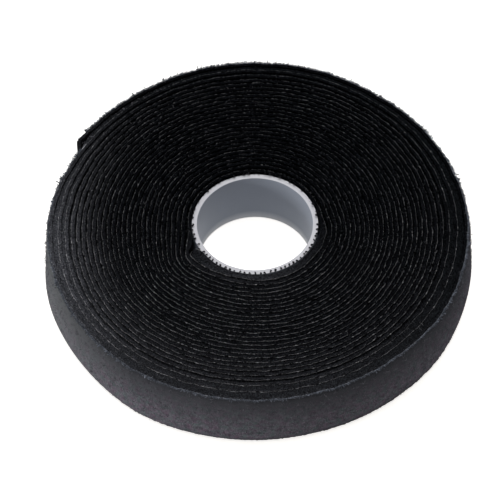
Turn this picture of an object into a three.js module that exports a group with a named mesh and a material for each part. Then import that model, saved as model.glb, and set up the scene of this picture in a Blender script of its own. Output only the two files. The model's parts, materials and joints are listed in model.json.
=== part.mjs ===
// Roll of back-to-back hook and loop tape on a short plastic core.
//
// Millimetres, +Z up. The roll lies flat: the core's axis is Z, and the tape's lower edge and the core's
// lower rim are both at z = 0. The hook layer faces the core and the loop layer faces out. The tape starts
// on the core and winds counter-clockwise, seen from above. Its last few centimetres are the free end.

import * as THREE from 'three';

// Tape
const tapeWidth = 15;
const hookLayer = 0.43;
const loopLayer = 0.43;
const windingGap = 0.49;
const fullLoops = 22;
const startDirection = 212;
const endDirection = 152;

// Climb of each loop over the one below it: short at the start, spread out further from the core
const climbDirection = 196;
const firstHalfClimb = 16;
const lastHalfClimb = 48;

// Core
const coreBore = 25;
const coreWall = 1;
const coreRecess = 0.4;
const rimChamfer = 0.2;

// Adhesive pad that holds the start of the tape on the core
const padThickness = 0.2;
const padInset = 1;
const padClearance = 0.05;
const padSteps = 4;

// Free end
const freeEndLength = 23;
const freeEndGap = 0.3;
const tipLift = 0.7;
const tipLiftLength = 8;
const freeEndSteps = 8;

// Fineness of the facets
const stepsPerLoop = 24;
const coreSegments = 48;
const degreesPerStep = 360 / stepsPerLoop;

// Sizes that follow
const layers = hookLayer + loopLayer;
const pitch = layers + windingGap;
const boreRadius = coreBore / 2;
const coreRadius = boreRadius + coreWall;
const coreHeight = tapeWidth - coreRecess;
const facetShrink = Math.cos(THREE.MathUtils.degToRad(degreesPerStep / 2));
const padRadius = (coreRadius + padClearance) / facetShrink;
const startRadius = padRadius + padThickness + padClearance;
const lastRadius = startRadius + fullLoops * pitch;
const rollRadius = lastRadius + layers;
const woundAngle = fullLoops * 360 + THREE.MathUtils.euclideanModulo(endDirection - startDirection, 360);
const freeEndStart = woundAngle - degreesAlong(freeEndLength);
const tipLiftStart = woundAngle - degreesAlong(tipLiftLength);

// Colours
const coreWhite = new THREE.MeshStandardMaterial({ color: 0xd9d9dc, roughness: 0.55, metalness: 0 });
const padAmber = new THREE.MeshStandardMaterial({ color: 0xc9b98a, roughness: 0.4, metalness: 0 });
const hookBlack = new THREE.MeshStandardMaterial({ color: 0x17171a, roughness: 0.7, metalness: 0 });
const loopBlack = new THREE.MeshStandardMaterial({ color: 0x333236, roughness: 0.95, metalness: 0 });

// Degrees that a length takes on the outermost loop
function degreesAlong(length) {
  return THREE.MathUtils.radToDeg(length / rollRadius);
}

// Radius of the tape's inner face, after it has turned by an angle from its start.
// Each loop runs round, then climbs by one pitch where it meets the loop below.
function innerRadius(angle) {
  let radius = startRadius;
  for (let loop = 0; loop < fullLoops; loop++) {
    const middle = 360 * (loop + 1) + climbDirection - startDirection;
    const half = THREE.MathUtils.lerp(firstHalfClimb, lastHalfClimb, loop / (fullLoops - 1));
    radius += pitch * THREE.MathUtils.smoothstep(angle, middle - half, middle + half);
  }
  const lifted = Math.max(0, (angle - tipLiftStart) / (woundAngle - tipLiftStart));
  return radius + tipLift * lifted * lifted;
}

// Angles from one turn angle to another, in the given number of even steps
function evenAngles(from, to, steps) {
  return Array.from({ length: steps + 1 }, (_, i) => THREE.MathUtils.lerp(from, to, i / steps));
}

// Angles of the wound part: whole steps, then what is left of the last one
function woundAngles() {
  const end = freeEndStart - degreesAlong(freeEndGap);
  const whole = Math.floor(end / degreesPerStep);
  return [...evenAngles(0, whole * degreesPerStep, whole), end];
}

// Point on the tape, at a distance out from its inner face
function tapePoint(angle, offset, z) {
  const direction = THREE.MathUtils.degToRad(startDirection + angle);
  const radius = innerRadius(angle) + offset;
  return new THREE.Vector3(radius * Math.cos(direction), radius * Math.sin(direction), z);
}

// One unbroken strip with four sides that follows the winding, between two distances from its inner face
function stripGeometry(angles, inner, outer, bottom, top) {
  const positions = [];
  for (const angle of angles) {
    for (const [offset, z] of [[inner, bottom], [outer, bottom], [outer, top], [inner, top]]) {
      positions.push(...tapePoint(angle, offset, z).toArray());
    }
  }
  const indices = [];
  for (let step = 0; step < angles.length - 1; step++) {
    for (let side = 0; side < 4; side++) {
      const here = step * 4 + side;
      const beside = step * 4 + (side + 1) % 4;
      indices.push(here, here + 4, beside + 4, here, beside + 4, beside);
    }
  }
  const last = (angles.length - 1) * 4;
  indices.push(0, 1, 2, 0, 2, 3);
  indices.push(last, last + 2, last + 1, last, last + 3, last + 2);
  const geometry = new THREE.BufferGeometry();
  geometry.setAttribute('position', new THREE.Float32BufferAttribute(positions, 3));
  geometry.setIndex(indices);
  geometry.computeVertexNormals();
  return geometry;
}

// Plain ring with a small chamfer at each edge of both rims
function coreGeometry() {
  const profile = [
    [boreRadius + rimChamfer, 0],
    [coreRadius - rimChamfer, 0],
    [coreRadius, rimChamfer],
    [coreRadius, coreHeight - rimChamfer],
    [coreRadius - rimChamfer, coreHeight],
    [boreRadius + rimChamfer, coreHeight],
    [boreRadius, coreHeight - rimChamfer],
    [boreRadius, rimChamfer],
  ].map(([radius, height]) => new THREE.Vector2(radius, height));
  const geometry = new THREE.LatheGeometry([...profile, profile[0]], coreSegments);
  return geometry.rotateX(Math.PI / 2);
}

function piece(name, geometry, material) {
  const mesh = new THREE.Mesh(geometry, material);
  mesh.name = name;
  return mesh;
}

// Least distance between the outline of one layer's outer face and another layer's inner face, one loop on
function leastGap(angles, outerOffset, innerOffset) {
  const facing = angles.map((angle) => tapePoint(angle, innerOffset, 0));
  const segment = new THREE.Line3();
  const nearest = new THREE.Vector3();
  let least = Infinity;
  for (const angle of angles) {
    const point = tapePoint(angle, outerOffset, 0);
    for (let i = 0; i < angles.length - 1; i++) {
      if (Math.abs(angles[i] - angle - 360) > 2 * degreesPerStep) continue;
      segment.set(facing[i], facing[i + 1]).closestPointToPoint(point, true, nearest);
      least = Math.min(least, nearest.distanceTo(point));
    }
  }
  return least;
}

const wound = woundAngles();
const freeEnd = evenAngles(freeEndStart, woundAngle, freeEndSteps);
const padAngles = evenAngles(0, padSteps * degreesPerStep, padSteps);

const roll = new THREE.Group();
roll.add(
  piece('core', coreGeometry(), coreWhite),
  piece(
    'start_tack_pad',
    stripGeometry(padAngles, -padClearance - padThickness, -padClearance, padInset, coreHeight - padInset),
    padAmber,
  ),
  piece('hook_tape', stripGeometry(wound, 0, hookLayer, 0, tapeWidth), hookBlack),
  piece('loop_tape', stripGeometry(wound, hookLayer, layers, 0, tapeWidth), loopBlack),
  piece('free_end_hook_tape', stripGeometry(freeEnd, 0, hookLayer, 0, tapeWidth), hookBlack),
  piece('free_end_loop_tape', stripGeometry(freeEnd, hookLayer, layers, 0, tapeWidth), loopBlack),
);

const everyAngle = [...wound, ...freeEnd];
const hingePoint = tapePoint(freeEndStart, layers, tapeWidth / 2);
console.log('roll diameter', (2 * rollRadius).toFixed(2), 'mm, loops', (woundAngle / 360).toFixed(2));
console.log('least gap between loops of the tape', leastGap(everyAngle, layers, 0).toFixed(3), 'mm');
console.log('hook layer to itself', leastGap(everyAngle, hookLayer, 0).toFixed(3), 'mm');
console.log('loop layer to itself', leastGap(everyAngle, layers, hookLayer).toFixed(3), 'mm');
console.log('free end turns about', hingePoint.toArray().map((value) => value.toFixed(2)).join(', '));

export default roll;
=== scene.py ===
# %% [markdown]
# # A roll of hook and loop tape
# The object is five metres of back-to-back fastening tape, wound flat on a short white plastic core.
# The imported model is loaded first, because it says where everything is: the core, the roll's reach and
# the hinge of the free end. Nothing in it is moved. The pieces made here are fitted to it.

# %% Load the frame
import json
import math

import bmesh
import bpy
import numpy as np
from mathutils import Matrix, Vector


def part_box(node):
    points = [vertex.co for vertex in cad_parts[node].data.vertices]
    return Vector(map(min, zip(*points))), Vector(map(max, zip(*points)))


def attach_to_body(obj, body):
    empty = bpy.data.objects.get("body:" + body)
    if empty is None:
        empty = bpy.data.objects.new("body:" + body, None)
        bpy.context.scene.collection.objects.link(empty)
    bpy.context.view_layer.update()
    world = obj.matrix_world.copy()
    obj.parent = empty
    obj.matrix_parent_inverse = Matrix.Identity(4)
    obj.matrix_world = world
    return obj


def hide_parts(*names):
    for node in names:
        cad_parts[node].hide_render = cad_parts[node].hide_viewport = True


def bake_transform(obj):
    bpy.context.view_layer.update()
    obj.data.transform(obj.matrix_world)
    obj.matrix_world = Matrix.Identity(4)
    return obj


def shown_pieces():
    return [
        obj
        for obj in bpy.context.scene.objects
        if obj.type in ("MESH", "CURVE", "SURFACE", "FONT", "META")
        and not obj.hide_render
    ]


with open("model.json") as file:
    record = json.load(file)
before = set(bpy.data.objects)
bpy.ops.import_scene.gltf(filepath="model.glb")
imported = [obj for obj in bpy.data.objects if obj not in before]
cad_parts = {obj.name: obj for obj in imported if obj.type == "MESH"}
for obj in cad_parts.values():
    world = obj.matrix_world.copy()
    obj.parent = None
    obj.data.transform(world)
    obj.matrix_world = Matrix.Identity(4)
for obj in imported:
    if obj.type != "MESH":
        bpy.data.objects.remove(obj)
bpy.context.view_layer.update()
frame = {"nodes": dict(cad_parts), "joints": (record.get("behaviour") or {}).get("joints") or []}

mm = 0.001
rng = np.random.default_rng(27)

# %% [markdown]
# ## Sizes
# The core's radius, the tape's width and the roll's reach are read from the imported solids. The tape's own
# layers are too thin to measure: two woven grounds bonded back to back, with hooks on the inner one and
# brushed loops on the outer one.

# %% Read the sizes


def reach(node):
    """Least and greatest distance of a node's corners from the roll's axis."""
    radii = [v.co.xy.length for v in frame["nodes"][node].data.vertices]
    return min(radii), max(radii)


bore_radius, core_radius = reach("core")
core_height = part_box("core")[1].z
tape_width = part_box("loop_tape")[1].z
roll_radius = reach("loop_tape")[1]
hinge = Vector(frame["joints"][0]["pos_m"])

hook_ground = 0.22 * mm
loop_ground = 0.20 * mm
pile = 0.28 * mm
tape_thickness = hook_ground + loop_ground + pile
print("core radius", round(core_radius / mm, 2), "roll radius", round(roll_radius / mm, 2), "mm")

# %% [markdown]
# ## The winding
# A wound tape is a spiral, but not an even one. Each loop runs round at one radius and then climbs over
# the loop below. The climb is short and steep near the core, and spreads over a wide arc further out.
# Directions are angles round the axis, counter-clockwise from +X.

# %% Turns of the winding
loops = 27
start_direction = math.radians(208.6)
end_direction = math.radians(149.3)
climb_direction = math.radians(196)
first_climb_later = math.radians(8)
first_half_climb = math.radians(14)
last_half_climb = math.radians(48)
turned_in_all = loops * math.tau + (end_direction - start_direction) % math.tau
turned_at_hinge = turned_in_all - (end_direction - math.atan2(hinge.y, hinge.x)) % math.tau
first_radius = core_radius + 0.1 * mm
last_radius = roll_radius - tape_thickness + 0.15 * mm


def loop_rises():
    """How far each loop climbs. The shares are even in the middle of the roll."""
    number = np.arange(loops)
    looser_first = 0.25 * np.exp(-number / 0.8)
    looser_last = 0.92 * np.exp((number - loops + 1) / 1.5)
    shares = 1.04 + looser_first + looser_last
    return shares * (last_radius - first_radius) / shares.sum()


rises = loop_rises() / mm
print("loops climb by", round(rises.min(), 2), "to", round(rises.max(), 2), "mm")

# %% [markdown]
# ## Dents and bulges
# The roll isn't quite round. The tape's start lifts the loops over it, the outer loops have dents and
# bulges of their own, and the lower edge leans out. A lattice would bend the core too, so soft bumps are
# added to the radius instead. They fade slowly from loop to loop, so the loops never cross. Each has a
# height in millimetres, then a direction and a width in degrees.

# %% Shape the dents and bulges
outer_bumps = ((0.55, 326, 14), (0.80, 0, 30), (-0.30, 53, 18), (-0.45, 130, 22), (1.15, 178, 22))
start_bumps = ((0.75, 215, 13), (-0.6, 258, 20))
lean_bumps = ((0.45, 320, 25), (1.1, 2, 24), (1.2, 186, 22), (0.5, 240, 20))
start_lift = 1.1
lifted_from, lifted_until, lifted_over = 188, 348, 26
start_bulge_loops = 12
outer_bump_loops = 2


def smooth(share):
    share = np.clip(share, 0, 1)
    return share * share * (3 - 2 * share)


def swell(direction, centre, width):
    """A soft bump round the roll, 1 at its centre, where angles are in degrees."""
    apart = (np.degrees(direction) - centre + 180) % 360 - 180
    return np.exp(-(apart / width) ** 2)


def add_bumps(direction, bumps):
    return sum(height * swell(direction, centre, width) for height, centre, width in bumps)


def start_bulge(direction):
    """The tape's start isn't pressed flat, and lifts all the loops over it from the climb to the front."""
    past = np.degrees(direction) % 360
    past = np.where(past < 180, past + 360, past)
    rising = smooth((past - lifted_from) / lifted_over)
    falling = smooth((past - lifted_until) / lifted_over)
    return start_lift * rising * (1 - falling) + add_bumps(direction, start_bumps)


def waviness(turned):
    """Bumps on the radius: those over the tape's start fade outwards, and the outer ones inwards."""
    direction = start_direction + turned
    settled = np.exp(-turned / math.tau / start_bulge_loops)
    near_end = np.exp((turned - turned_in_all) / math.tau / outer_bump_loops)
    outer = add_bumps(direction, outer_bumps) + 0.05 * np.sin(11 * direction + 0.4)
    return (start_bulge(direction) * settled + outer * near_end) * mm


def flare_below(turned):
    """How far the lower edge stands out further than the upper one: the stack leans outwards."""
    lean = 0.45 + add_bumps(start_direction + turned, lean_bumps)
    return lean * (turned / turned_in_all) ** 3 * mm


# %% [markdown]
# The climb of each loop, the bumps and the lifted tip of the free end come together in one function, from
# the angle that the tape has turned to its radius there.

# %% Radius of the winding
tip_lift = 0.35 * mm
tip_lift_length = 8 * mm
late_climb_loops = 1.5


def inner_radius(turned):
    """Radius of the tape's inner face after it has turned by an angle from its start."""
    radius = np.full_like(turned, first_radius)
    for loop, rise in enumerate(loop_rises()):
        later = first_climb_later * math.exp(-loop / late_climb_loops)
        middle = math.tau * (loop + 1) + climb_direction + later - start_direction
        half = first_half_climb + (last_half_climb - first_half_climb) * loop / (loops - 1)
        radius += rise * smooth((turned - middle + half) / (2 * half))
    lifted = np.clip((turned - turned_in_all) * roll_radius / tip_lift_length + 1, 0, 1)
    return radius + waviness(turned) + tip_lift * lifted**2


# %% [markdown]
# ## From flat tape to wound tape
# Everything on the tape is made flat, as on a bench: x runs along the tape, y across it and z out from
# its hook side. One function then winds any flat mesh onto the roll. How far round the tape has gone at
# each length is summed up here once, in small steps.

# %% Sum up the length
spiral = np.linspace(0, turned_in_all, 40000)
middle_radius = inner_radius(spiral) + tape_thickness / 2
path = np.stack([middle_radius * np.cos(spiral), middle_radius * np.sin(spiral)])
length_at = np.concatenate([[0], np.cumsum(np.linalg.norm(np.diff(path), axis=0))])
tape_length = length_at[-1]
print("tape length", round(tape_length, 3), "m in", round(turned_in_all / math.tau, 2), "turns")


def length_to(turned):
    """Length of tape from its start to the place where it has turned by an angle."""
    return float(np.interp(turned, spiral, length_at))


def turned_at(along):
    """The other way round: how far the tape has turned at that length."""
    return np.interp(along, length_at, spiral)


# %% [markdown]
# ## The pile and the first turn
# The brushed pile is springy. It swells into most of the gap to the next loop, and freely on the outermost
# turn. On the core it is the hook side that fills a space: the first turn bulges over the tape's start, and
# then climbs over it and leaves a wedge. A cloth simulation could settle this, but it is slow with so many
# layers, and two formulas do it here.

# %% Fill the gaps of the winding
free_swelling = 0.45 * mm
most_swelling = 1.3 * mm
evened_over = 41
let_up, let_up_from, let_up_over = 0.35 * mm, 62, 15
bulge_until = math.radians(165)
climb_from, climb_until = math.radians(320), math.radians(359)
wedge_opens, wedge_opens_over = 552, 14


def room_above():
    """How far the brushed pile can swell into the gap to the next loop, along the whole tape."""
    gap = inner_radius(spiral + math.tau) - inner_radius(spiral) - tape_thickness
    under_next = spiral + math.tau < turned_in_all
    share = 0.85 + 0.10 * smooth(spiral / math.tau - (loops - 6))
    room = np.where(under_next, np.clip(share * gap, 0, most_swelling), free_swelling)
    even_out = np.ones(evened_over) / evened_over
    return np.convolve(np.pad(room, evened_over // 2, mode="edge"), even_out, mode="valid")


def stand_off():
    """How far the hook side reaches in towards the core, along the whole tape: only on its first turn."""
    bulge = start_bulge(start_direction + spiral) * mm
    bulge -= let_up * smooth((np.degrees(spiral) - let_up_from) / let_up_over)
    under_bulge = np.where(spiral < bulge_until, np.maximum(bulge, 0), 0)
    direction = np.degrees(start_direction + spiral)
    wedge_gap = (0.12 + 1.1 * smooth((direction - wedge_opens) / wedge_opens_over)) * mm
    above_core = np.maximum(inner_radius(spiral) - core_radius - wedge_gap, 0)
    first_climb = (spiral > climb_from) & (spiral < climb_until)
    return np.where(first_climb, above_core, under_bulge)


fullness_at = room_above()
stand_off_at = stand_off()
print("the pile swells by up to", round(fullness_at.max() / mm, 2), "mm")

# %% [markdown]
# ## Painted haze and painted shade
# A haze of light is painted on the outer loops at one side of the roll, and a face under another loop is
# painted black as shade. Masks painted by hand would fit one winding only. These are worked out from the
# angle turned, and each piece stores them on its vertices for its finish.

# %% Where haze of light and shade are painted
haze_from, haze_over = 24, 22
haze_sides = ((0.95, 190, 36), (0.22, 270, 48))


def rubbed(turned):
    """How much haze of light is painted on the tape: most on the outer loops at one side."""
    outwards = smooth((inner_radius(turned) / mm - haze_from) / haze_over)
    direction = start_direction + turned
    at_start = 0.25 * (1 - smooth(turned / math.tau - 0.6)) * swell(direction, 265, 60)
    outside = 0.02 + add_bumps(direction, haze_sides)
    return outwards**2 * outside + at_start + 0.06 * swell(direction, 262, 62)


def covered(turned, end):
    """1 where the tape, up to that angle turned, lies over itself, and 0 on the turn that shows."""
    return smooth((end - math.tau - turned) * roll_radius / mm + 1)


# %% [markdown]
# Winding a point turns its length into an angle and its height into a radius. The lean, the swelling of
# the pile, the slight waver of the edges and the rounded corner at the very start are added on the way. A
# Curve modifier could bend the tape round a spiral, but it has no place for these.

# %% Wind a flat mesh
round_start = 1.3 * mm
start_middle = first_radius + 1.0 * mm
edge_wander = 0.10 * mm
slit_relief = 1.5 * mm
slit_flat = 0.28 * mm
loose_loops = 3


def edge_wiggle(along):
    """A slit edge never runs quite straight."""
    along = along / mm
    return (
        0.035 * np.sin(1.93 * along) + 0.045 * np.sin(1.17 * along + 1) + 0.05 * np.sin(0.71 * along + 2)
    ) * mm


def swelling(turned, across, out):
    """How far a point of the pile moves out. The slit edges stay flat, and on loose loops less of them."""
    loose = smooth(turned / math.tau - (loops - loose_loops)) * covered(turned, turned_in_all)
    # Where haze of light is painted, the pile also fills more of the gap, so fewer grooves show.
    relief = slit_relief * (1 - 0.8 * np.maximum(rubbed(turned), loose))
    in_pile = np.clip((out - hook_ground) / (0.7 * (tape_thickness - hook_ground)), 0, 1)
    from_edge = np.minimum(across, tape_width - across)
    share = in_pile * smooth((from_edge - slit_flat) / relief)
    return share * np.interp(turned, spiral, fullness_at)


def wound(flat):
    """Where points of the flat tape lie on the roll."""
    turned = turned_at(flat[:, 0])
    across, out = flat[:, 1], flat[:, 2]
    spread_below = flare_below(turned) * (1 - across / tape_width)
    in_hooks = 1 - np.clip(out / hook_ground, 0, 1)
    drawn_in = in_hooks * np.interp(turned, spiral, stand_off_at)
    radius = inner_radius(turned) + spread_below + out + swelling(turned, across, out) - drawn_in
    radius += edge_wiggle(flat[:, 0]) * np.clip(2 * across / tape_width - 1, 0, 1)
    from_start = np.clip(1 - flat[:, 0] / round_start, 0, 1)
    radius = start_middle + (radius - start_middle) * np.sqrt(np.clip(1 - from_start**2, 0.04, 1))
    direction = start_direction + turned
    beyond = flat[:, 0] - np.clip(flat[:, 0], 0, tape_length)
    climb = edge_wander * (0.5 + 0.3 * np.sin(1.37 * turned) + 0.2 * np.sin(4.1 * turned + 1))
    return np.stack([
        radius * np.cos(direction) - beyond * np.sin(direction),
        radius * np.sin(direction) + beyond * np.cos(direction),
        across + climb,
    ], axis=1)


def corners(mesh):
    """A mesh's vertices as an array of points."""
    flat = np.zeros(len(mesh.vertices) * 3, np.float32)
    mesh.vertices.foreach_get("co", flat)
    return flat.reshape(-1, 3).astype(float)


def keep(mesh, name, kind, values):
    """Stores a value for each vertex, for the materials to read."""
    attribute = mesh.attributes.new(name, kind, "POINT")
    label = "vector" if kind == "FLOAT_VECTOR" else "value"
    attribute.data.foreach_set(label, values.astype(np.float32).ravel())


def wind_up(obj):
    """Winds a flat piece onto the roll, and stores its place on the tape, in millimetres, on it."""
    flat = corners(obj.data)
    turned = turned_at(flat[:, 0])
    on_roll = wound(flat)
    out = np.linalg.norm(on_roll[:, :2], axis=1) - inner_radius(turned)
    keep(obj.data, "place", "FLOAT_VECTOR", np.stack([flat[:, 0], flat[:, 1], out], axis=1) / mm)
    # Masks for the finishes: the painted haze of light, and the covered faces where shade is painted.
    keep(obj.data, "rubbed", "FLOAT", rubbed(turned))
    keep(obj.data, "covered", "FLOAT", covered(turned, turned_at_hinge))
    obj.data.vertices.foreach_set("co", on_roll.astype(np.float32).ravel())
    obj.data.update()
    return obj


# %% [markdown]
# ## The free end
# The last stretch of the tape is made apart from the wound stretch, and starts just before the hinge,
# where it still follows the roll.

# %% Where the tape divides
hinge_along = length_to(turned_at_hinge)
lead = 2 * mm
bend_length = 4 * mm
divide = hinge_along - lead
stretches = {"": (0.0, divide), "free_end_": (divide, tape_length)}
print("free end from", round(hinge_along, 4), "m to", round(tape_length, 4), "m")


def attach(obj, stretch):
    """Lets a wound piece ride on the roll. A piece of the free end stays as it was wound, with its
    transform baked in.
    """
    if stretch == "":
        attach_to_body(obj, "roll")
    else:
        flat = np.array([[hinge_along, tape_width / 2, tape_thickness]])
        start = wound(flat)[0]
        end = wound(flat + [[bend_length, 0, 0]])[0]
        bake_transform(obj)
    print(obj.name, len(obj.data.polygons), "faces")


# %% [markdown]
# ## Two strips
# The grounds of the tape are woven strips, five metres long and less than a millimetre thick. Each is a
# grid folded round a cross-section: its rows become the section's corners, the first and last rows are
# merged, and the ends are filled. A grid makes thousands of steps at once, where a sweep is slow.

# %% Fold a grid round a cross-section
merge_distance = 0.001 * mm


def show(name, data):
    """An object in the scene with that mesh, camera or lamp."""
    obj = bpy.data.objects.new(name, data)
    bpy.context.scene.collection.objects.link(obj)
    return obj


def new_object(name, bm):
    mesh = bpy.data.meshes.new(name)
    bm.to_mesh(mesh)
    bm.free()
    return show(name, mesh)


def close_up(bm):
    """Merges doubles, fills open ends and turns the faces outwards, which can go wrong on tiny shapes."""
    bmesh.ops.remove_doubles(bm, verts=bm.verts[:], dist=merge_distance)
    bmesh.ops.holes_fill(bm, edges=[edge for edge in bm.edges if edge.is_boundary], sides=0)
    bmesh.ops.recalc_face_normals(bm, faces=bm.faces[:])
    if bm.calc_volume(signed=True) < 0:
        bmesh.ops.reverse_faces(bm, faces=bm.faces[:])


def folded_strip(name, start, end, sections):
    """A closed strip, wound from start to end along the tape, with one cross-section for each step."""
    steps, rows = sections.shape[0] - 1, sections.shape[1]
    bm = bmesh.new()
    bmesh.ops.create_grid(bm, x_segments=steps, y_segments=rows, size=0.5)
    for vert in bm.verts:
        step = round((vert.co.x + 0.5) * steps)
        across, out = sections[step, round((vert.co.y + 0.5) * rows) % rows]
        vert.co = (start + (end - start) * step / steps, across, out)
    close_up(bm)
    return wind_up(new_object(name, bm))


# %% [markdown]
# The hook ground has plain corners. The loop ground has a rounder shoulder, and more points near its
# edges than in its middle, because that is where the pile rises from the flat slit edge.

# %% Make the two strips
step_along = 1.25 * mm
ground_corner = 0.05 * mm
shoulder = 0.16 * mm
rising_shares = (0, 0.11, 0.22, 0.55, 1.0)


def softened_section(low, high, inner, outer, points, along_top=()):
    """Outline of a flat rectangle with round corners, across the tape and out from its hook side."""
    centres = [
        (inner, low + inner, inner, 180),
        (tape_width - inner, low + inner, inner, 270),
        (tape_width - outer, high - outer, outer, 0),
        (outer, high - outer, outer, 90),
    ]
    outline = []
    for across, out, corner, first in centres:
        for angle in np.radians(np.linspace(first, first + 90, points)):
            outline.append((across + corner * math.cos(angle), out + corner * math.sin(angle)))
        if first == 0:
            outline += [(across, high) for across in along_top]
    return np.array(outline)


def even_strip(name, start, end, section):
    steps = max(2, round((end - start) / step_along))
    return folded_strip(name, start, end, np.tile(section, (steps + 1, 1, 1)))


pile_columns = [slit_flat + share * slit_relief for share in rising_shares]
pile_columns = [tape_width - column for column in pile_columns] + pile_columns[::-1]
hook_section = softened_section(0, hook_ground, ground_corner, ground_corner, points=2)
loop_section = softened_section(
    hook_ground, tape_thickness, ground_corner, shoulder, points=3, along_top=pile_columns
)
for stretch, (start, end) in stretches.items():
    for side, section in (("hook", hook_section), ("loop", loop_section)):
        strip = even_strip(stretch + side + "_ground", start, end, section)
        attach(strip, stretch)
        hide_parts(stretch + side + "_tape")

# %% [markdown]
# ## A small fibre, many times
# Hooks, loops and fuzz are the same few shapes thousands of times over. One of each is modelled as a thin
# tube, an Array modifier makes all the copies, and each copy is then turned, scaled and moved by random
# amounts on the flat tape, before it is wound. The random numbers come from one seed. A particle system
# could grow fibres too, but not along the slit edges alone.

# %% Model one fibre


def bent_fibre(thickness, stem, curl_radius, curl, steps, sides=3):
    """A tube that runs up z for its stem, then curls towards x by an angle in degrees."""
    bm = bmesh.new()
    ring = bmesh.ops.create_circle(bm, cap_ends=False, segments=sides, radius=thickness / 2)["verts"]
    edges = bm.edges[:]
    if stem > 0:
        made = bmesh.ops.extrude_edge_only(bm, edges=edges)["geom"]
        ring = [part for part in made if isinstance(part, bmesh.types.BMVert)]
        edges = [part for part in made if isinstance(part, bmesh.types.BMEdge)]
        bmesh.ops.translate(bm, vec=(0, 0, stem), verts=ring)
    bmesh.ops.spin(
        bm, geom=ring + edges, cent=(curl_radius, 0, stem), axis=(0, 1, 0), dvec=(0, 0, 0),
        angle=math.radians(curl), steps=steps, use_merge=False, use_duplicate=False,
    )
    close_up(bm)
    return bm


def copies(name, bm, count):
    """One mesh of many copies of a small shape, which is used up, all still in one place."""
    one = new_object(name, bm)
    array = one.modifiers.new("copies", "ARRAY")
    array.use_relative_offset = False
    array.count = count
    evaluated = one.evaluated_get(bpy.context.evaluated_depsgraph_get())
    mesh = bpy.data.meshes.new_from_object(evaluated)
    single = one.data
    one.modifiers.clear()
    one.data = mesh
    bpy.data.meshes.remove(single)
    return one


def turns_about(axis, angles):
    """One turning matrix for each angle, about x, y or z."""
    first, second = [(1, 2), (2, 0), (0, 1)][axis]
    matrices = np.tile(np.eye(3), (len(angles), 1, 1))
    matrices[:, first, first] = matrices[:, second, second] = np.cos(angles)
    matrices[:, first, second] = -np.sin(angles)
    matrices[:, second, first] = np.sin(angles)
    return matrices


def spread(obj, places, scales, heading, lean):
    """Scales each copy, leans it about y, turns it about z by its heading, moves it and winds it up."""
    count = len(places)
    each = corners(obj.data).reshape(count, -1, 3) * scales[:, None, None]
    turned = turns_about(2, heading) @ turns_about(1, lean)
    each = np.einsum("cij,cvj->cvi", turned, each) + places[:, None, :]
    obj.data.vertices.foreach_set("co", each.astype(np.float32).ravel())
    keep(obj.data, "shade", "FLOAT", np.repeat(rng.random(count), each.shape[1]))
    return wind_up(obj)


def scattered(start, end, count, low, high, deep, proud):
    """Random places along the tape, from low to high across it, close to the top of the pile."""
    return np.stack([
        rng.uniform(start, end, count),
        rng.uniform(low, high, count),
        rng.uniform(tape_thickness - deep, tape_thickness + proud, count),
    ], axis=1)


# %% [markdown]
# ## Hooks
# The hook side carries rows of tiny hooks cut from a stiff filament. On the roll they hide between
# the loops, except at the edges, where they fill the gaps with dark points, and on the first loop, where
# they reach over the core's rim as thicker knobs. The free end carries hooks all over.
# Hooks everywhere else would cost millions of faces that nobody sees.

# %% Make the hooks
hook_spacing = 1.2 * mm
hook_thickness = 0.13 * mm
hook_curl_radius = 0.13 * mm
hook_edge_inset = 0.55 * mm
hook_scatter = 0.08 * mm
pressed_stem, free_stem, knob_stem = 0.16 * mm, 0.36 * mm, 0.26 * mm
knob_thickness = 0.34 * mm
knob_roots = core_radius + 0.1 * mm


def hook_copies(name, along, across, stem, thickness=hook_thickness, out=0.02 * mm):
    """Hooks that point inwards, some facing forwards and some back, a little out of line."""
    count = len(along)
    obj = copies(name, bent_fibre(thickness, stem, hook_curl_radius, curl=215, steps=4), count)
    places = np.stack([along, across, np.full(count, out)], axis=1)
    places[:, :2] += rng.normal(0, hook_scatter, (count, 2))
    places[:, 1] = np.clip(places[:, 1], 0.12 * mm, tape_width + 0.05 * mm)
    scales = rng.uniform(0.85, 1.2, count)
    heading = rng.choice([0, math.pi], count) + rng.normal(0, 0.5, count)
    inwards = np.full(count, math.pi) + rng.normal(0, 0.12, count)
    return spread(obj, places, scales, heading, inwards)


def rows_of_hooks(start, end, *heights):
    """Places along and across the tape, in one row for each height."""
    along = np.arange(start + hook_spacing / 2, end, hook_spacing)
    return np.tile(along, len(heights)), np.repeat(heights, len(along))


upper = tape_width - hook_edge_inset
for name, across in (("hooks_upper_edge", upper), ("hooks_lower_edge", hook_edge_inset)):
    attach(hook_copies(name, *rows_of_hooks(0, divide, across), pressed_stem), "")

over_core = rows_of_hooks(0, length_to(math.tau), tape_width - 0.02 * mm)
turned = turned_at(over_core[0])
raised = rng.random(len(turned)) < 0.45 + 0.7 * swell(start_direction + turned, 265, 80)
over_core = [values[raised] for values in over_core]
turned = turned[raised]
face = inner_radius(turned) - np.interp(turned, spiral, stand_off_at)
knobs = hook_copies("hooks_over_core", *over_core, knob_stem, knob_thickness, knob_roots - face)
attach(knobs, "")

heights = np.linspace(hook_edge_inset, upper, round(tape_width / hook_spacing))
field = rows_of_hooks(divide, tape_length, *heights)
attach(hook_copies("free_end_hooks", *field, free_stem), "free_end_")

# %% [markdown]
# ## Slit edges
# The tape is slit from a wide web, and the cut melts the ends of the loop pile into a thin, uneven, paler
# bead, the fine broken line that follows each loop of the roll. It is a strip like the grounds, with a
# small square section whose size wavers along the tape and is thinner near the core. A painted line would
# vanish from the side. The bead turns round the tape's rounded start, so there it is on the hook side too.

# %% Make the slit edges
bead_radius = 0.075 * mm
bead_step = 0.35 * mm
bead_shift = 0.035 * mm
bead_out = tape_thickness - 0.01 * mm
bead_inset = 0.14 * mm
bead_corners = np.arange(4) * math.tau / 4
start_bead_length = 2.5 * mm
whole_steps = 8
thinner_until, thinner_over, most_thinned = 20, 18, 0.38


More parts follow.
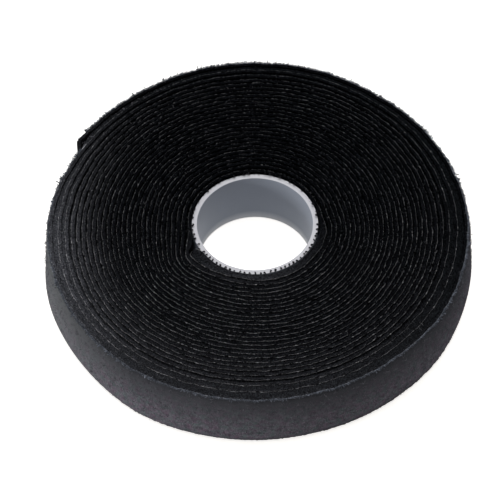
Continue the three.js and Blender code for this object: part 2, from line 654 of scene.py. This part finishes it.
def slit_bead(name, start, end, across, out):
    steps = round((end - start) / bead_step)
    turned = turned_at(np.linspace(start, end, steps + 1))
    near_core = 1 - smooth((inner_radius(turned) / mm - thinner_until) / thinner_over)
    pressed = 1 - most_thinned * near_core * (1 - swell(start_direction + turned, 270, 60))
    size = bead_radius * pressed * np.clip(rng.normal(0.75, 0.45, steps + 1), 0.15, 1.8)
    size[:whole_steps] = np.maximum(size[:whole_steps], 1.3 * bead_radius)
    shift = rng.normal(0, bead_shift, (steps + 1, 2))
    sections = np.stack([
        across + shift[:, :1] + size[:, None] * np.cos(bead_corners),
        out + shift[:, 1:] + size[:, None] * np.sin(bead_corners),
    ], axis=2)
    return folded_strip(name, start, end, sections)


for stretch, (start, end) in stretches.items():
    for place, across in (("upper", tape_width - bead_inset), ("lower", bead_inset)):
        bead = slit_bead(stretch + "slit_edge_" + place, start, end, across, bead_out)
        attach(bead, stretch)
start_bead = slit_bead("start_slit_edge_upper", 0, start_bead_length, tape_width - bead_inset, 0)
attach(start_bead, "")

# %% [markdown]
# ## Nap and fuzz
# The loop side is brushed into a soft nap. From the front it looks like felt, but against the pale
# background its loops stand out as tufts. Both are half rings of the small fibre, on what shows of the
# outermost turn, but not on its lowest millimetres, where the nap lies flat.

# %% Make the nap
shown_turns = 1.12
# Name, lowest height on the tape, number per square millimetre, thickness and radius of the ring
nap_kinds = (
    ("nap_loops", 2.5 * mm, 1.5, 0.05 * mm, 0.16 * mm),
    ("nap_tufts", 7 * mm, 0.4, 0.05 * mm, 0.26 * mm),
)


def nap_copies(name, start, end, lowest, per_mm2, thickness, radius):
    count = round((end - start) * (tape_width - lowest) / mm**2 * per_mm2)
    obj = copies(name, bent_fibre(thickness, 0, radius, curl=180, steps=4), count)
    places = scattered(start, end, count, lowest, tape_width, deep=0.10 * mm, proud=0.02 * mm)
    scales = rng.lognormal(0, 0.3, count)
    heading = rng.uniform(0, math.tau, count)
    return spread(obj, places, scales, heading, rng.normal(0, 0.2, count))


shown_from = length_to(turned_in_all - shown_turns * math.tau)
for stretch, start, end in (("", shown_from, divide), ("free_end_", divide, tape_length)):
    for kind, *shape in nap_kinds:
        attach(nap_copies(stretch + kind, start, end, *shape), stretch)

# %% [markdown]
# The outermost slit edge has no loop over it, so its fibres spring up and out into a low crest that makes
# the roll's outline soft. A noise texture would leave the outline smooth. The crest stops short of the
# cut end, where no fibre stands.

# %% Make the crest
crest_per_mm = 56
crest_thickness = 0.075 * mm
crest_curl_radius = 0.32 * mm
crest_depth = 0.30 * mm
crest_gap = 2 * mm
crest_tip_gap = 2.5 * mm


def crest(name, start, end):
    count = round((end - start) / mm * crest_per_mm)
    obj = copies(name, bent_fibre(crest_thickness, 0, crest_curl_radius, curl=60, steps=1), count)
    low = tape_width - crest_depth
    places = scattered(start, end, count, low, tape_width, deep=0.12 * mm, proud=0.05 * mm)
    heading = math.pi / 2 + rng.normal(0, 0.9, count)
    lean = rng.uniform(-0.5, 0.5, count)
    return spread(obj, places, rng.lognormal(-0.15, 0.42, count), heading, lean)


outermost_from = length_to(turned_in_all - math.tau) + crest_gap
attach(crest("nap_crest", outermost_from, divide), "")
attach(crest("free_end_nap_crest", divide, tape_length - crest_tip_gap), "free_end_")

# %% [markdown]
# Short loose fibres stick out of the slit edges all along the tape, and break up the lines of the winding.
# They are many, so each has three sides and three steps. Most are on the upper edge, whose long stretch
# is made in two halves to keep each piece light.

# %% Make the fuzz of the slit edges
fuzz_depth = 0.15 * mm
fuzz_thickness = 0.045 * mm
fuzz_curl_radius = 0.20 * mm
# Height on the tape, 1 for upwards or -1 for down, and number per millimetre
upper_fuzz = (tape_width, 1, 3)
lower_fuzz = (0.1 * mm, -1, 0.8)


def edge_fuzz(name, start, end, across, up, per_mm):
    count = round((end - start) / mm * per_mm)
    obj = copies(name, bent_fibre(fuzz_thickness, 0, fuzz_curl_radius, curl=85, steps=3), count)
    places = np.stack([
        rng.uniform(start, end, count),
        across - up * rng.uniform(0, fuzz_depth, count),
        rng.uniform(hook_ground, tape_thickness + 0.1 * mm, count),
    ], axis=1)
    lean = np.abs(rng.normal(0, 0.7, count))
    heading = rng.uniform(0, math.tau if up > 0 else math.pi, count)
    return spread(obj, places, rng.lognormal(0, 0.3, count), heading, lean)


fuzzy_parts = [("", "upper_inner", 0, 0.5 * divide), ("", "upper_outer", 0.5 * divide, divide)]
fuzzy_parts += [("", "lower", 0, divide)]
fuzzy_parts += [("free_end_", place, divide, tape_length) for place in ("upper", "lower")]
for stretch, place, start, end in fuzzy_parts:
    edge = lower_fuzz if place == "lower" else upper_fuzz
    attach(edge_fuzz(stretch + "edge_fuzz_" + place, start, end, *edge), stretch)

# %% [markdown]
# ## The core
# The core is a short moulded tube. A plain cylinder would have knife-sharp rims, so its section is drawn
# as a ring of points, the corners are bevelled, and one full spin closes it. The bore is slightly narrower
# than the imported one, with a wide chamfer below, and the upper rim rises a little towards the front.

# %% Make the core
rim_bevel = 0.07 * mm
bore_chamfer = 0.35 * mm
bore = bore_radius - 0.12 * mm
rim_slope = 0.25 / 13
core_steps = 160


def core_tube(name):
    bm = bmesh.new()
    outline = [
        (bore + bore_chamfer, 0), (core_radius, 0), (core_radius, core_height),
        (bore, core_height), (bore, bore_chamfer),
    ]
    ring = [bm.verts.new((radius, 0, height)) for radius, height in outline]
    bm.faces.new(ring)
    bmesh.ops.bevel(
        bm, geom=ring, offset=rim_bevel, segments=3, profile=0.5, affect="VERTICES", material=-1
    )
    edges = bm.edges[:]
    bmesh.ops.delete(bm, geom=bm.faces[:], context="FACES_ONLY")
    bmesh.ops.spin(
        bm, geom=bm.verts[:] + edges, cent=(0, 0, 0), axis=(0, 0, 1), dvec=(0, 0, 0), angle=math.tau,
        steps=core_steps, use_merge=True, use_duplicate=False,
    )
    close_up(bm)
    for vert in bm.verts:
        if vert.co.z > core_height / 2:
            vert.co.z -= rim_slope * vert.co.y
    for part in bm.faces:
        part.smooth = True
    return new_object(name, bm)


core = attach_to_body(core_tube("core_tube"), "roll")
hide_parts("core")
print("core_tube", len(core.data.polygons), "faces")

# %% [markdown]
# ## Finishes
# The tape's finishes read what was stored on its vertices: the place on the tape, how much haze of light is
# painted on it and whether it is covered. So their patterns follow the tape, and stay on it when the free
# end moves. Short helpers come first, each of which places one node.

# %% Helpers for nodes


def add(tree, kind, links=(), **values):
    """A new node with its settings, and its inputs set or linked by name."""
    node = tree.nodes.new("ShaderNode" + kind)
    for name, value in values.items():
        setattr(node, name, value)
    for name, source in links:
        if isinstance(source, bpy.types.NodeSocket):
            tree.links.new(source, node.inputs[name])
        else:
            node.inputs[name].default_value = source
    return node


def combine(tree, operation, first, second):
    return add(tree, "Math", [(0, first), (1, second)], operation=operation).outputs[0]


def ramp(tree, value, low, high, to_low=0.0, to_high=1.0):
    """From 0 to 1, or between two other levels, while the value goes from low to high."""
    limits = [("From Min", low), ("From Max", high), ("To Min", to_low), ("To Max", to_high)]
    return add(tree, "MapRange", [("Value", value), *limits]).outputs[0]


def noise(tree, place, scale, detail=2.0):
    links = [("Vector", place), ("Scale", scale), ("Detail", detail)]
    return add(tree, "TexNoise", links).outputs["Fac"]


def coordinate(tree, vector, axis):
    return add(tree, "SeparateXYZ", [("Vector", vector)]).outputs[axis]


# %% [markdown]
# Two effects are shared as node groups: the soft mottling of brushed fibres, and sparse bright specks
# where a filament catches the light. A group is built once, and each finish sets its own sizes in it.

# %% Shared node groups
def node_group(name, inputs, outputs):
    group = bpy.data.node_groups.new(name, "ShaderNodeTree")
    for label, kind, value in inputs:
        socket = group.interface.new_socket(label, in_out="INPUT", socket_type="NodeSocket" + kind)
        if value is not None:
            socket.default_value = value
    for label, kind in outputs:
        group.interface.new_socket(label, in_out="OUTPUT", socket_type="NodeSocket" + kind)
    return group, group.nodes.new("NodeGroupInput"), group.nodes.new("NodeGroupOutput")


def brushed_fibres_group():
    group, inside, outside = node_group(
        "brushed_fibres",
        [("Place", "Vector", None), ("Patch", "Float", 2.5), ("Fibre", "Float", 0.12)],
        [("Shade", "Float"), ("Grain", "Float"), ("Height", "Float")],
    )
    place, patch, fibre = (inside.outputs[name] for name in ("Place", "Patch", "Fibre"))
    stretched = add(group, "Mapping", [("Vector", place), ("Scale", (1.0, 0.45, 1.0))]).outputs[0]
    patches = noise(group, place, combine(group, "DIVIDE", 1.0, patch))
    fibres = noise(group, stretched, combine(group, "DIVIDE", 1.0, fibre), detail=4.0)
    mixed = add(group, "Mix", [("Factor", 0.6), ("A", patches), ("B", fibres)], data_type="FLOAT")
    group.links.new(ramp(group, mixed.outputs["Result"], 0.3, 0.7), outside.inputs["Shade"])
    group.links.new(ramp(group, fibres, 0.40, 0.62), outside.inputs["Grain"])
    group.links.new(fibres, outside.inputs["Height"])
    return group


def specks_group():
    group, inside, outside = node_group(
        "specks",
        [("Place", "Vector", None), ("Size", "Float", 0.2), ("Share", "Float", 0.1)],
        [("Mask", "Float")],
    )
    place, size, share = (inside.outputs[name] for name in ("Place", "Size", "Share"))
    scale = combine(group, "DIVIDE", 1.0, size)
    cells = add(group, "TexVoronoi", [("Vector", place), ("Scale", scale)])
    level = add(group, "SeparateColor", [("Color", cells.outputs["Color"])]).outputs["Red"]
    chosen = combine(group, "LESS_THAN", level, share)
    near_middle = combine(group, "LESS_THAN", cells.outputs["Distance"], 0.35)
    group.links.new(combine(group, "MULTIPLY", chosen, near_middle), outside.inputs["Mask"])
    return group


brushed_fibres = brushed_fibres_group()
specks = specks_group()

# %% [markdown]
# Each finish is one Principled shader. Its colour runs between a dark and a light tone by the shared
# mottling, and its bump comes from the same fibres. Numbers that are the same all over are set on the
# shader itself.

# %% Helpers for finishes


def new_finish(name, **values):
    material = bpy.data.materials.new(name)
    material.use_nodes = True
    shader = material.node_tree.nodes["Principled BSDF"]
    for socket, value in values.items():
        shader.inputs[socket.replace("_", " ")].default_value = value
    return material, material.node_tree, shader


def attribute(tree, name, output="Fac"):
    return add(tree, "Attribute", attribute_name=name).outputs[output]


def mix_colour(tree, share, first, second):
    node = tree.nodes.new("ShaderNodeMix")
    node.data_type = "RGBA"
    for index, value in ((0, share), (6, first), (7, second)):
        if isinstance(value, bpy.types.NodeSocket):
            tree.links.new(value, node.inputs[index])
        else:
            node.inputs[index].default_value = value if index == 0 else (*value, 1)
    return node.outputs[2]


def brushed(tree, place, patch, fibre):
    """Shade, grain and height of the mottling, with the sizes of its patches and fibres in millimetres."""
    links = [("Place", place), ("Patch", patch), ("Fibre", fibre)]
    return add(tree, "Group", links, node_tree=brushed_fibres).outputs


def dotted(tree, place, base, share, tone, size):
    """Specks of one size in millimetres, where cut filaments catch the light."""
    glint = add(tree, "Group", [("Size", size), ("Share", share), ("Place", place)], node_tree=specks)
    return mix_colour(tree, glint.outputs["Mask"], base, tone)


def paint(tree, shader, colour):
    tree.links.new(colour, shader.inputs["Base Color"])


def bump(tree, shader, strength, distance, height):
    node = add(tree, "Bump", [("Strength", strength), ("Distance", distance), ("Height", height)])
    tree.links.new(node.outputs[0], shader.inputs["Normal"])


# %% [markdown]
# Masks say which part of the tape a point is on: the pale outer face, the faces between the loops, which
# are painted black as shade, or a cut edge. They go by the place on the tape, so they keep to their part
# when the winding changes. A mask goes from 0 to 1 between two places, in millimetres.

# %% Masks along the tape
# Painted shade: the nap is painted darker from here up towards its upper edge.
shade_upwards = (3.0, 14.5)
# Painted shade: a dark band just under the upper edge, where a loop or the free end lies over it.
shaded_edge_band = (14.1, 14.4)
weave_edge = (14.4, 14.8)
cut_edge = (14.7, 14.86)
cut_end = (tape_length / mm - 0.12, tape_length / mm - 0.02)


def before_last_turn(tree, place):
    """1 on all loops but the outermost turn: here the loop under the free end counts as covered."""
    last = length_to(turned_in_all - math.tau) / mm
    return ramp(tree, coordinate(tree, place, "X"), last + 0.5, last - 0.5)


def between_loops(tree, place):
    """1 where shade is painted: on faces that another loop covers, and along the upper edge also where only
    the free end does.
    """
    edge = ramp(tree, coordinate(tree, place, "Y"), *shaded_edge_band)
    below = combine(tree, "MULTIPLY", before_last_turn(tree, place), edge)
    return combine(tree, "MAXIMUM", below, attribute(tree, "covered"))


def on_cuts(tree, place):
    """1 on the upper slit edge and on the tape's cut end, and 0 on its faces."""
    end = ramp(tree, coordinate(tree, place, "X"), *cut_end)
    edge = ramp(tree, coordinate(tree, place, "Y"), *cut_edge)
    return combine(tree, "MAXIMUM", edge, end)


def hazed(tree, grain, base, haze):
    """Mixes a colour towards a pale tone where haze of light is painted on the tape."""
    fibres = ramp(tree, grain, 0.0, 1.0, to_low=0.25)
    return mix_colour(tree, combine(tree, "MULTIPLY", attribute(tree, "rubbed"), fibres), base, haze)


# %% [markdown]
# The outer nap is charcoal felt, partly greenish and partly purple. It is painted darker towards its upper
# edge, as shade, and greyer where a haze of light is painted on the outer loops at one side. Between the
# loops the same pile is painted almost black, as the shade there. One finish does both, so that no hard
# line shows where the tape comes out from under a loop.

# %% Finish of the nap
speck_size, haze_speck_size, haze_speck_share = 0.22, 0.34, 0.32
# Tones of the painted shade towards the upper edge and of the painted haze of light.
upper_shade_tone, haze_tone = (0.052, 0.053, 0.060), (0.165, 0.175, 0.177)


def outer_nap(tree, place, shade):
    tint = ramp(tree, noise(tree, place, scale=1.0, detail=3.0), 0.30, 0.70)
    dark = mix_colour(tree, tint, (0.051, 0.067, 0.072), (0.075, 0.051, 0.073))
    light = mix_colour(tree, tint, (0.170, 0.202, 0.210), (0.222, 0.170, 0.222))
    nap = mix_colour(tree, shade, dark, light)
    nap = dotted(tree, place, nap, share=0.15, tone=(0.23, 0.22, 0.25), size=0.3)
    # Painted shade: darker towards the upper edge.
    nap = mix_colour(tree, ramp(tree, coordinate(tree, place, "Y"), *shade_upwards), nap, upper_shade_tone)
    # Painted haze of light, where the haze mask is high.
    haze_amount = ramp(tree, attribute(tree, "rubbed"), low=0.35, high=1.0, to_high=0.6)
    return mix_colour(tree, haze_amount, nap, haze_tone)


def dark_pile(tree, place, grain, tones, share, speck, haze):
    """Near-black fibres with sparse specks, greyer where haze of light is painted on them."""
    pile = dotted(tree, place, mix_colour(tree, grain, *tones), share, speck, speck_size)
    return hazed(tree, grain, pile, haze)


def nap_finish():
    material, tree, shader = new_finish("nap", Roughness=1.0, Specular_IOR_Level=0.0)
    place = attribute(tree, "place", "Vector")
    fibres = brushed(tree, place, patch=1.6, fibre=0.3)
    grain = fibres["Grain"]
    # The tone of the painted haze of light, with specks in it.
    haze = dotted(tree, place, (0.078, 0.080, 0.092), haze_speck_share, (0.190, 0.195, 0.210), haze_speck_size)
    # Painted shade: the near-black tones of the pile between the loops.
    tones = (0.0003, 0.0004, 0.0005), (0.0055, 0.0065, 0.0075)
    gap = dark_pile(tree, place, grain, tones, share=0.20, speck=(0.018, 0.021, 0.025), haze=haze)
    tones = (0.0003, 0.0003, 0.0004), (0.0035, 0.004, 0.005)
    cut = dark_pile(tree, place, grain, tones, share=0.14, speck=(0.030, 0.033, 0.039), haze=haze)
    face = mix_colour(tree, between_loops(tree, place), outer_nap(tree, place, fibres["Shade"]), gap)
    paint(tree, shader, mix_colour(tree, on_cuts(tree, place), face, cut))
    bump(tree, shader, strength=0.5, distance=0.1 * mm, height=fibres["Height"])
    return material


# %% [markdown]
# The hook side is a tight black weave without pile. Its slit edge glints in a few places, and it takes
# the same painted haze of light. The weave is far too fine to see, so noise stands in for it.

# %% Finish of the hook side
def ground_finish():
    material, tree, shader = new_finish("hook_ground", Roughness=0.9, Specular_IOR_Level=0.0)
    place = attribute(tree, "place", "Vector")
    fibres = brushed(tree, place, patch=1.5, fibre=0.4)
    grain = fibres["Grain"]
    face = mix_colour(tree, grain, (0.0002, 0.0003, 0.0004), (0.0035, 0.004, 0.005))
    edge = dotted(tree, place, face, share=0.15, tone=(0.022, 0.026, 0.030), size=speck_size)
    base = mix_colour(tree, ramp(tree, coordinate(tree, place, "Y"), *weave_edge), face, edge)
    # The tone of the painted haze of light, with specks in it.
    haze = dotted(tree, place, (0.070, 0.072, 0.083), haze_speck_share, (0.165, 0.170, 0.185), haze_speck_size)
    paint(tree, shader, hazed(tree, grain, base, haze))
    bump(tree, shader, strength=0.5, distance=0.1 * mm, height=fibres["Height"])
    return material


# %% [markdown]
# The melted slit edge is a paler, slightly glossy grey. On the outermost turn it is one clear line.
# Between the loops the pile hides it in places, so there specks break it up into dashes.

# %% Finish of the slit edges
def slit_finish():
    material, tree, shader = new_finish("slit_edge", Roughness=0.5, Specular_IOR_Level=0.3)
    place = attribute(tree, "place", "Vector")
    fibres = brushed(tree, place, patch=0.9, fibre=0.25)
    dashed = mix_colour(tree, fibres["Grain"], (0.004, 0.004, 0.005), (0.14, 0.14, 0.15))
    dashed = dotted(tree, place, dashed, share=0.5, tone=(0.23, 0.23, 0.24), size=0.8)
    line = mix_colour(tree, before_last_turn(tree, place), (0.32, 0.32, 0.345), dashed)
    line = dotted(tree, place, line, share=0.04, tone=(0.45, 0.45, 0.45), size=0.4)
    # Paler where haze of light is painted.
    paint(tree, shader, hazed(tree, fibres["Shade"], line, (0.34, 0.34, 0.365)))
    return material


# %% [markdown]
# Single fibres are too thin for a pattern. Each copy has the one shade that was drawn for it, times the
# mottling where it stands, so the fibres vary like the nap below them.

# %% Finish of the fibres


def fibre_finish(name, dark, light, roughness):
    material, tree, shader = new_finish(name, Roughness=roughness, Specular_IOR_Level=0.05)
    mottling = brushed(tree, attribute(tree, "place", "Vector"), patch=2.5, fibre=0.6)["Shade"]
    shade = combine(tree, "MULTIPLY", attribute(tree, "shade"), mottling)
    paint(tree, shader, mix_colour(tree, shade, dark, light))
    return material


nap_fibre = fibre_finish("nap_fibre", (0.07, 0.068, 0.078), (0.22, 0.22, 0.25), 0.9)
crest_fibre = fibre_finish("crest_fibre", (0.04, 0.045, 0.055), (0.24, 0.26, 0.31), 0.8)
edge_fibre = fibre_finish("edge_fibre", (0.003, 0.003, 0.004), (0.25, 0.25, 0.27), 0.8)
hook_filament = fibre_finish("hook_filament", (0.002, 0.002, 0.003), (0.014, 0.014, 0.018), 0.5)

# %% [markdown]
# The core is white plastic. Its walls are painted darker and bluish, as shade, and paler close to the
# floor, as painted light from the floor. Rims and walls are told apart by the way they face, so the tone
# changes right on the bevel. The adhesive is amber and hidden.

# %% Finish of the core and the adhesive
floor_light_height = 2.7 * mm


def core_finish():
    material, tree, shader = new_finish("core_plastic", Roughness=0.5, Specular_IOR_Level=0.3)
    place = add(tree, "TexCoord").outputs["Object"]
    clouds = noise(tree, place, scale=120.0, detail=3.0)
    rim = mix_colour(tree, clouds, (0.46, 0.46, 0.495), (0.51, 0.51, 0.54))
    # Painted shade: the walls are darker and bluer than the rim.
    painted_wall = mix_colour(tree, clouds, (0.284, 0.312, 0.372), (0.321, 0.349, 0.408))
    # Painted light from the floor: the walls turn pale over their lowest millimetres.
    floor_light_fade = ramp(tree, coordinate(tree, place, "Z"), 0.0, floor_light_height)
    painted_wall = mix_colour(tree, floor_light_fade, (0.90, 0.90, 0.92), painted_wall)
    facing = coordinate(tree, add(tree, "NewGeometry").outputs["Normal"], "Z")
    level = add(tree, "Math", [(0, facing)], operation="ABSOLUTE").outputs[0]
    paint(tree, shader, mix_colour(tree, ramp(tree, level, 0.2, 0.8), painted_wall, rim))
    bump(tree, shader, strength=0.15, distance=0.03 * mm, height=noise(tree, place, scale=3000.0))
    return material


def adhesive_finish():
    material, tree, shader = new_finish("adhesive", Roughness=0.3)
    clouds = noise(tree, add(tree, "TexCoord").outputs["Object"], scale=400.0)
    paint(tree, shader, mix_colour(tree, clouds, (0.45, 0.36, 0.18), (0.6, 0.5, 0.28)))
    return material


# %% [markdown]
# A finish goes to every piece whose name ends in one of its words, so the wound stretch and the free end
# always match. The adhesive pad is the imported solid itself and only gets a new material.

# %% Put the finishes on


def wear(finish, *names):
    """Gives a finish to pieces by the ends of their names."""
    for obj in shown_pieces():
        if any(obj.name.endswith(name) for name in names):
            obj.data.materials.clear()
            obj.data.materials.append(finish)


wear(nap_finish(), "loop_ground")
wear(ground_finish(), "hook_ground")
wear(slit_finish(), "slit_edge_upper", "slit_edge_lower")
wear(nap_fibre, "nap_loops", "nap_tufts")
wear(crest_fibre, "nap_crest")
wear(edge_fibre, "upper_inner", "upper_outer", "edge_fuzz_upper", "edge_fuzz_lower")
wear(hook_filament, "hooks_upper_edge", "hooks_lower_edge", "hooks_over_core", "free_end_hooks")
wear(core_finish(), "core_tube")
pad = frame["nodes"]["start_tack_pad"]
pad.data.materials.clear()
pad.data.materials.append(adhesive_finish())

# %% [markdown]
# ## Camera
# The camera looks down at the roll from the front, at the photographed angle and distance. Its shift
# frames the picture, so that nothing has to be moved.

# %% Set the camera
camera_height = math.radians(54.37)
camera_distance = 0.500
camera_roll = math.radians(-0.3)
picture_width = 500
focal_pixels = 2286
axis_pixel = (255.17, 263.26)

back = Vector((0, -math.cos(camera_height), math.sin(camera_height)))
level = Vector((1, 0, 0))
upright = back.cross(level)
right = math.cos(camera_roll) * level + math.sin(camera_roll) * upright
up = -math.sin(camera_roll) * level + math.cos(camera_roll) * upright
optics = bpy.data.cameras.new("camera")
camera = show("camera", optics)
turned_to_view = Matrix((right, up, back)).transposed().to_4x4()
camera.matrix_world = Matrix.Translation(back * camera_distance) @ turned_to_view
optics.sensor_width = 36
optics.lens = optics.sensor_width * focal_pixels / picture_width
optics.shift_x = (picture_width / 2 - axis_pixel[0]) / picture_width
optics.shift_y = (axis_pixel[1] - picture_width / 2) / picture_width
optics.clip_start = 0.01
optics.clip_end = 20
bpy.context.scene.camera = camera
print("lens", round(optics.lens, 1), "mm")

# %% [markdown]
# ## Floor and light
# The roll lies on a pale floor. What is seen of the floor glows, and so becomes a white background
# without more light on the roll. A large lamp above gives soft light, and a small one at the side
# brightens the nap.

# %% Set the stage
floor_half = 3
floor_glow = 0.80
world_light = 0.2


def floor_plane():
    bm = bmesh.new()
    bmesh.ops.create_grid(bm, x_segments=1, y_segments=1, size=floor_half)
    floor = new_object("floor", bm)
    material, tree, shader = new_finish("floor", Base_Color=(0.65, 0.65, 0.64, 1), Roughness=0.9)
    path = add(tree, "LightPath").outputs
    seen = path["Is Camera Ray"]
    for kind in ("Is Glossy Ray", "Is Transmission Ray"):
        seen = combine(tree, "MAXIMUM", seen, path[kind])
    shader.inputs["Emission Color"].default_value = (1, 0.98, 0.955, 1)
    tree.links.new(combine(tree, "MULTIPLY", seen, floor_glow), shader.inputs["Emission Strength"])
    floor.data.materials.append(material)


def soft_lamp(name, place, size, power):
    data = bpy.data.lights.new(name, "AREA")
    data.shape = "SQUARE"
    data.size = size
    data.energy = power
    lamp = show(name, data)
    lamp.location = place
    lamp.rotation_euler = (-Vector(place)).to_track_quat("-Z", "Y").to_euler()


floor_plane()
soft_lamp("key", place=(-0.05, 0.22, 0.9), size=0.7, power=8.5)
soft_lamp("side fill", place=(-0.85, -0.35, 0.14), size=0.3, power=3.6)
world = bpy.data.worlds.new("world")
bpy.context.scene.world = world
world.use_nodes = True
background = world.node_tree.nodes["Background"].inputs
background["Color"].default_value = (1, 1, 1, 1)
background["Strength"].default_value = world_light
bpy.context.scene.view_settings.view_transform = "Standard"

# %% [markdown]
# ## Lengths of the sheets
# The tape is two bonded sheets, wound tight. The flat size of each sheet is the tape's width and the
# length of its stretch, which is printed here.


for stretch, (start, end) in stretches.items():
    for ground, kinds in (("hook_ground", ["hooks"]), ("loop_ground", ["slit_edge", "nap", "fuzz"])):
        print(stretch + ground, "is", round(end - start, 4), "m long when flat")
